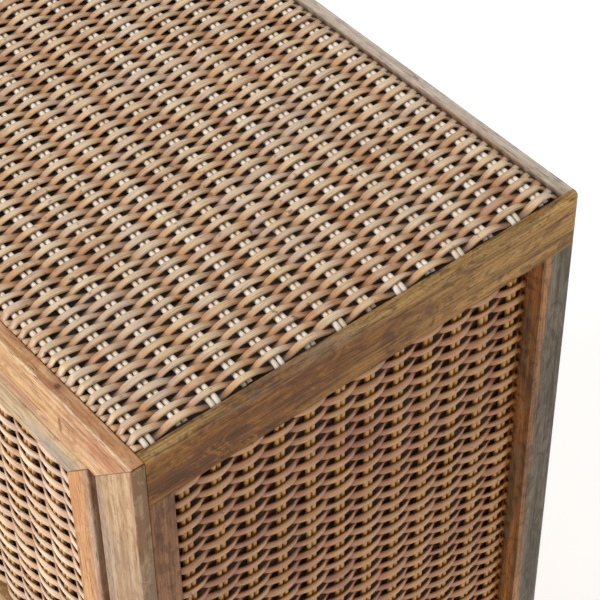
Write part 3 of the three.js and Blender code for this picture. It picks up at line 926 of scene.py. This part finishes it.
# Turned pieces: corners around, and the radius and height of each ring in millimetres.
TURNED_SIDES = 40
TURNED_ANGLE = radians(38)
KNOB_PROFILE = ((8, 0), (8, 2.2), (7.2, 2.9), (5.2, 3.6), (4.6, 5.5), (4.6, 9.5), (5.6, 12), (8.6, 14.4),
                (11.8, 16.6), (13.5, 19), (14, 21.4), (13.5, 23.6), (11.9, 25.6), (9, 27.1), (5, 27.9),
                (1, 28))
SCREW_PROFILE = ((3.6, 0), (3.6, 0.4), (3.2, 0.9), (2.3, 1.3), (1.3, 1.4), (1.2, 0.6), (0.4, 0.6))
SCREW_INSET = 12 * MM


def metal_material(name, colour_now, dark, roughness):
    """Brushed metal with a slightly darker haze."""
    shader = Shader(name)
    where = shader.where()
    haze = shader.noise(where, 120, 4, 0.4)
    scratches = shader.noise(shader.mapped(where, (40, 40, 900)), 1.0, 3)
    base = shader.mix(shader.window(haze, 0.4, 0.75, 0, 0.6), colour_now, dark)
    shader.bump(scratches, 0.05 * MM, 0.5)
    rough = shader.window(haze, 0.3, 0.7, roughness, roughness + 0.18)
    return shader.finish(base, rough, Metallic=1.0)


class TABLE_OT_finish_metal(bpy.types.Operator):
    """Finish the steel runners and bolts"""
    bl_idname = "table.finish_metal"
    bl_label = "Finish Metal"

    def execute(self, context):
        m = context.scene.table_metal
        steel = metal_material("steel", m.steel, tone("85888c"), 0.3)
        brass = metal_material("brass", m.brass, tone("7c5a26"), 0.26)
        for slot_name, material in (("steel", steel), ("brass", brass)):
            for name in nodes_with_slot(slot_name):
                coat(name, material)
        return {"FINISHED"}


def turned(name, profile, place, turn):
    """A turned piece: rings of the profile (radius, height) stacked along its own axis, then placed."""
    bpy.ops.object.select_all(action="DESELECT")
    bpy.ops.mesh.primitive_circle_add(vertices=TURNED_SIDES, radius=profile[0][0] * MM, fill_type="NGON",
                                      location=(0, 0, 0))
    piece = bpy.context.active_object
    piece.name = name
    bpy.ops.object.mode_set(mode="EDIT")
    bpy.ops.mesh.select_all(action="SELECT")
    for (radius, height), (next_radius, next_height) in zip(profile, profile[1:]):
        bpy.ops.mesh.extrude_region_move(
            TRANSFORM_OT_translate={"value": (0, 0, (next_height - height) * MM)})
        share = next_radius / radius
        bpy.ops.transform.resize(value=(share, share, 1), center_override=(0, 0, next_height * MM))
    bpy.ops.mesh.select_all(action="SELECT")
    bpy.ops.mesh.normals_make_consistent(inside=False)
    bpy.ops.object.mode_set(mode="OBJECT")
    piece.location = place
    piece.rotation_euler = turn
    bpy.ops.object.transform_apply(location=True, rotation=True, scale=True)
    bpy.ops.object.shade_smooth_by_angle(angle=TURNED_ANGLE)
    return piece


class TABLE_OT_turn_knob(bpy.types.Operator):
    """Turn the brass knob of the drawer"""
    bl_idname = "table.turn_knob"
    bl_label = "Turn Knob"

    def execute(self, context):
        low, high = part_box("knob")
        place = ((low.x + high.x) / 2, high.y, (low.z + high.z) / 2)
        knob = turned("turned_knob", KNOB_PROFILE, place, (radians(90), 0, 0))
        knob.data.materials.append(bpy.data.materials["brass"])
        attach(knob, "drawer")
        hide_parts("knob")
        return {"FINISHED"}


class TABLE_OT_drive_screws(bpy.types.Operator):
    """Drive the screws that hold the back panel"""
    bl_idname = "table.drive_screws"
    bl_label = "Drive Screws"

    def execute(self, context):
        low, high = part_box("back_panel")
        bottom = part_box("back_bottom_rail")[1].z
        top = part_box("back_top_rail")[0].z
        lowest = bottom + SCREW_INSET
        highest = top - SCREW_INSET
        places = [(x, z) for x in (low.x + SCREW_INSET, high.x - SCREW_INSET)
                  for z in (lowest, (bottom + top) / 2, highest)]
        places += [(0, lowest), (0, highest)]
        for number, (x, z) in enumerate(places):
            screw = turned(f"back_screw_{number + 1}", SCREW_PROFILE, (x, high.y, z), (radians(-90), 0, 0))
            screw.data.materials.append(bpy.data.materials["steel"])
            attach(screw, "cabinet")
        return {"FINISHED"}


# ---------------------------------------------------------------- stage

FLOOR_SIZE = 30
AIM = Vector((0, 0, 0.4))
KEY_PLACE = Vector((-0.9, -2.6, 2.3))
KEY_SIZE = 1.8
KEY_TINT = (1, 0.98, 0.95)
TOP_PLACE = Vector((-0.4, 0.4, 3.0))
TOP_SIZE = 2.2
WHITE = (1, 1, 1)
SENSOR_WIDTH = 36
NEAREST_SEEN = 0.05


class TABLE_OT_set_stage(bpy.types.Operator):
    """Lay the pale floor and set the lights and the camera"""
    bl_idname = "table.set_stage"
    bl_label = "Set Stage"

    def execute(self, context):
        s = context.scene.table_stage
        bpy.ops.object.select_all(action="DESELECT")
        bpy.ops.mesh.primitive_plane_add(size=FLOOR_SIZE, location=(0, 0, 0))
        floor = context.active_object
        floor.name = "floor"
        shader = Shader("floor")
        cloudy = shader.noise(shader.where(), 3, 2)
        base = shader.mix(cloudy, tone("f2f1ef"), tone("f6f5f4"))
        shader.finish(base, 0.8, **{"Emission Color": (*WHITE, 1), "Emission Strength": s.floor_glow})
        floor.data.materials.append(shader.material)

        self.softbox(context, "key_light", KEY_PLACE, KEY_SIZE, s.key_power, KEY_TINT)
        self.softbox(context, "top_light", TOP_PLACE, TOP_SIZE, s.top_power, WHITE)
        world = bpy.data.worlds.new("room")
        world.use_nodes = True
        backdrop = world.node_tree.nodes["Background"]
        backdrop.inputs["Color"].default_value = (*WHITE, 1)
        backdrop.inputs["Strength"].default_value = s.sky
        context.scene.world = world
        context.scene.view_settings.view_transform = "Standard"

        camera = bpy.data.objects.new("camera", bpy.data.cameras.new("camera"))
        context.scene.collection.objects.link(camera)
        level = cos(s.elevation)
        back = Vector((sin(s.azimuth) * level, -cos(s.azimuth) * level, sin(s.elevation)))
        right = Vector((0, 0, 1)).cross(back).normalized()
        up = back.cross(right)
        rolled_right = right * cos(s.roll) + up * sin(s.roll)
        rolled_up = up * cos(s.roll) - right * sin(s.roll)
        turn = Matrix((rolled_right, rolled_up, back)).transposed()
        camera.matrix_world = Matrix.Translation(s.position) @ turn.to_4x4()
        camera.data.lens = s.lens
        camera.data.sensor_width = SENSOR_WIDTH
        camera.data.clip_start = NEAREST_SEEN
        context.scene.camera = camera
        return {"FINISHED"}

    @staticmethod
    def softbox(context, name, place, size, power, tint):
        """A square area light that faces the table."""
        light = bpy.data.lights.new(name, "AREA")
        light.shape = "SQUARE"
        light.size = size
        light.energy = power
        light.color = tint
        lamp = bpy.data.objects.new(name, light)
        lamp.location = place
        lamp.rotation_euler = (AIM - place).to_track_quat("-Z", "Y").to_euler()
        context.scene.collection.objects.link(lamp)


class TABLE_PT_tools(bpy.types.Panel):
    """Lists the table's operators and settings"""
    bl_label = "Rattan Table"
    bl_space_type = "VIEW_3D"
    bl_region_type = "UI"
    bl_category = "Rattan Table"

    def draw(self, context):
        for operator in OPERATORS:
            self.layout.operator(operator.bl_idname)
        for group in ("table_weave", "table_wood", "table_metal", "table_stage"):
            settings = getattr(context.scene, group)
            box = self.layout.box()
            for key in settings.__annotations__:
                box.prop(settings, key)


OPERATORS = (TABLE_OT_set_stage, TABLE_OT_weave_top, TABLE_OT_weave_sides, TABLE_OT_weave_drawer,
             TABLE_OT_finish_honey_boards, TABLE_OT_finish_shade_boards, TABLE_OT_finish_inner_boards,
             TABLE_OT_finish_black_boards, TABLE_OT_finish_metal, TABLE_OT_turn_knob, TABLE_OT_drive_screws)
GROUPS = {"table_weave": WeaveSettings, "table_wood": WoodSettings, "table_metal": MetalSettings,
          "table_stage": StageSettings}


def register():
    for item in (*GROUPS.values(), *OPERATORS, TABLE_PT_tools):
        bpy.utils.register_class(item)
    for name, group in GROUPS.items():
        setattr(bpy.types.Scene, name, PointerProperty(type=group))


def unregister():
    for name in GROUPS:
        delattr(bpy.types.Scene, name)
    for item in reversed((*GROUPS.values(), *OPERATORS, TABLE_PT_tools)):
        bpy.utils.unregister_class(item)


def main():
    register()
    for operator in OPERATORS:
        area, name = operator.bl_idname.split(".")
        getattr(getattr(bpy.ops, area), name)()


if __name__ == "__main__":
    main()
